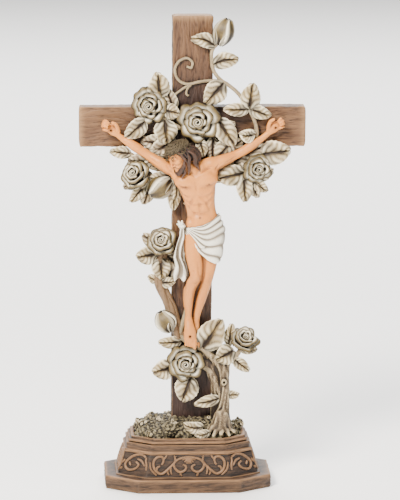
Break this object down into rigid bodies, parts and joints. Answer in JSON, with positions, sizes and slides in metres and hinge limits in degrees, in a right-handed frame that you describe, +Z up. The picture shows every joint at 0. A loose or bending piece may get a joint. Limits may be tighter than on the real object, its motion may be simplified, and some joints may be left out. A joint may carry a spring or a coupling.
{
  "type": "standing crucifix",
  "caption": "Standing crucifix in cast resin: a figure on a wood-look cross, wound with a rose vine that grows from a mossy mound, on a stepped octagonal plinth with scrolls.",
  "frame": {"origin": "on the ground under the middle of the cross's post, between its front and back faces' planes (the post's front face is at y -0.004)", "axes": "+X to the right as the front is seen, +Y from the front to the back, +Z up; the figure faces -Y"},
  "size_m": [0.1447, 0.0658, 0.3047],
  "materials": {
    "plinth": "cast resin, reddish brown with copper edges",
    "cross": "cast resin, painted as hewn wood",
    "rose_vine": "cast resin, ivory with a brown wash",
    "corpus": "cast resin, painted skin, hair and white cloth"
  },
  "bodies": {
    "root": {"plinth": "plinth", "cross": "cross", "rose_vine": "rose_vine", "corpus": "corpus"}
  },
  "joints": []
}
